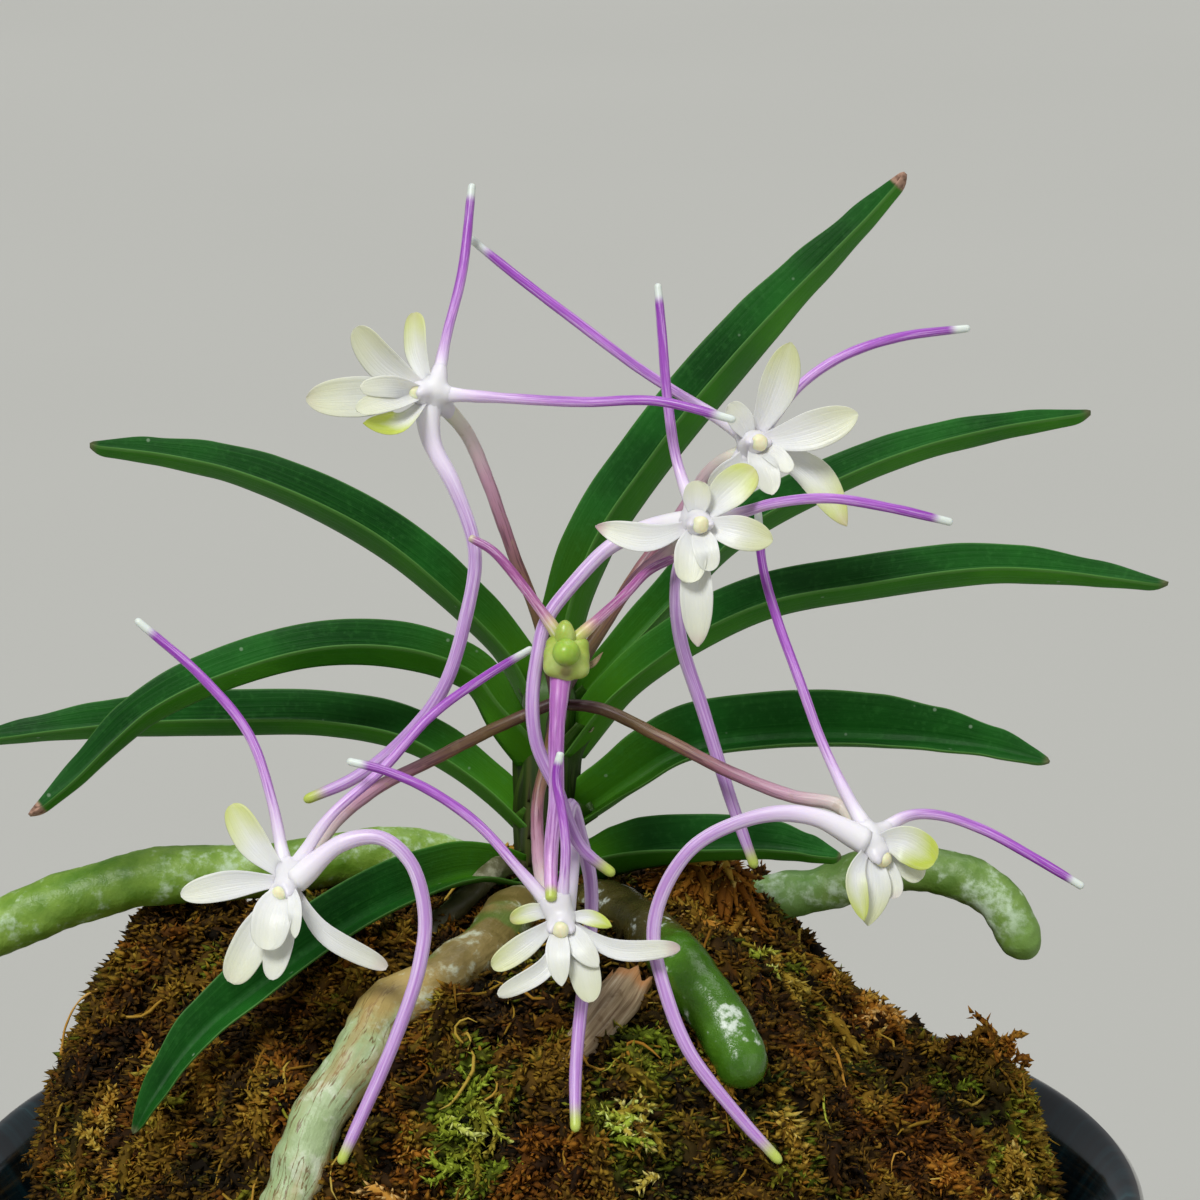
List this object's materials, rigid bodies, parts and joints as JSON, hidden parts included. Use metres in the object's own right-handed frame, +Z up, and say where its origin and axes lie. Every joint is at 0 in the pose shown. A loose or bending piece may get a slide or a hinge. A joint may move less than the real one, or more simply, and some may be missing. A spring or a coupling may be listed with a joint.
{
  "type": "wind orchid in a pot",
  "caption": "Small orchid in bloom: fan of channelled leaves, long-spurred white blooms and thick roots on a moss mound in a flared glazed pot.",
  "frame": {"origin": "centre of the pot's flat base, on the surface that it stands on", "axes": "+Z up; -Y towards whoever looks at the blooms; +X to that viewer's right"},
  "size_m": [0.1364, 0.134, 0.1904],
  "materials": {
    "leaf": "satin",
    "stem": "satin",
    "stalk": "satin",
    "petal": "satin",
    "spur": "satin",
    "bud": "satin",
    "root": "matte",
    "dry_sheath": "matte",
    "moss": "matte",
    "glaze": "gloss"
  },
  "bodies": {
    "root": {"stem_with_leaf_sheaths": "stem", "bud": "bud", "flower_stalk": "stalk", "flower_1": "petal", "flower_2": "petal", "flower_3": "petal", "flower_4": "petal", "flower_5": "petal", "flower_6": "petal", "pedicel_1": "stalk", "pedicel_2": "stalk", "pedicel_3": "stalk", "pedicel_4": "stalk", "pedicel_5": "stalk", "pedicel_6": "stalk", "spur_1_main": "spur", "spur_1_upper": "spur", "spur_1_side": "spur", "spur_2_main": "spur", "spur_2_upper": "spur", "spur_2_side": "spur", "spur_3_main": "spur", "spur_3_upper": "spur", "spur_3_side": "spur", "spur_4_main": "spur", "spur_4_upper": "spur", "spur_4_side": "spur", "spur_5_main": "spur", "spur_5_upper": "spur", "spur_5_side": "spur", "spur_6_main": "spur", "spur_6_upper": "spur", "spur_6_side": "spur", "bud_spur_left": "spur", "bud_spur_right": "spur", "bud_spur_main": "spur", "leaf_1": "leaf", "leaf_2": "leaf", "leaf_3": "leaf", "leaf_4": "leaf", "leaf_5": "leaf", "leaf_6": "leaf", "leaf_7": "leaf", "leaf_8": "leaf", "leaf_9": "leaf", "root_1": "root", "root_2": "root", "root_3": "root", "root_4": "root", "root_5": "root", "dry_sheath": "dry_sheath", "moss_mound": "moss", "pot": "glaze"}
  },
  "joints": []
}
